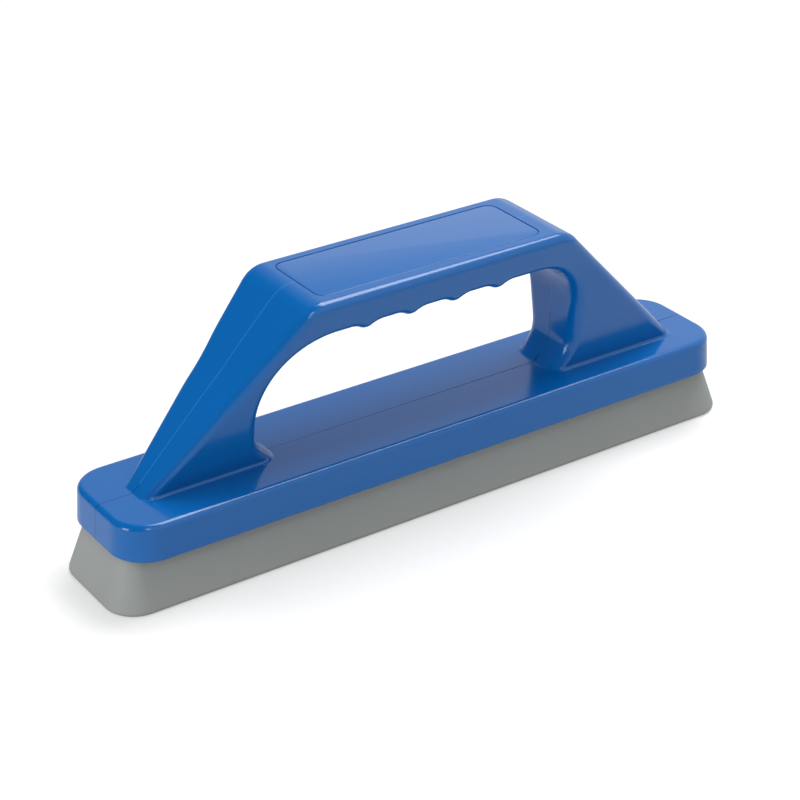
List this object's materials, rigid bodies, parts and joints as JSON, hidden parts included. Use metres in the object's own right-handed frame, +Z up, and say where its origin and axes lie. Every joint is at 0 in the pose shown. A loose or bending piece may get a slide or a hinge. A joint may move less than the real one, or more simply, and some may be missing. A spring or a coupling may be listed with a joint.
{
  "type": "hand float",
  "caption": "Long hand float with an arched two-part moulded handle, finger-scalloped grip and a flared rubber pad.",
  "frame": {"origin": "middle of the pad's sole, where the float rests on the work", "axes": "+X along the float, +Y across it to the rear half, +Z up from the sole to the grip"},
  "size_m": [0.2998, 0.0544, 0.1062],
  "materials": {
    "handle_blue": "smooth moulded, semi-gloss",
    "panel_blue": "smooth moulded, semi-gloss",
    "pad_grey": "smooth matt",
    "plate_black": "matt moulded",
    "screw_steel": "zinc plated"
  },
  "bodies": {
    "root": {"handle_half_front": "handle_blue", "handle_half_rear": "handle_blue", "grip_panel": "panel_blue", "float_pad": "pad_grey", "pad_backing_plate": "plate_black", "backing_screws": "screw_steel"}
  },
  "joints": []
}
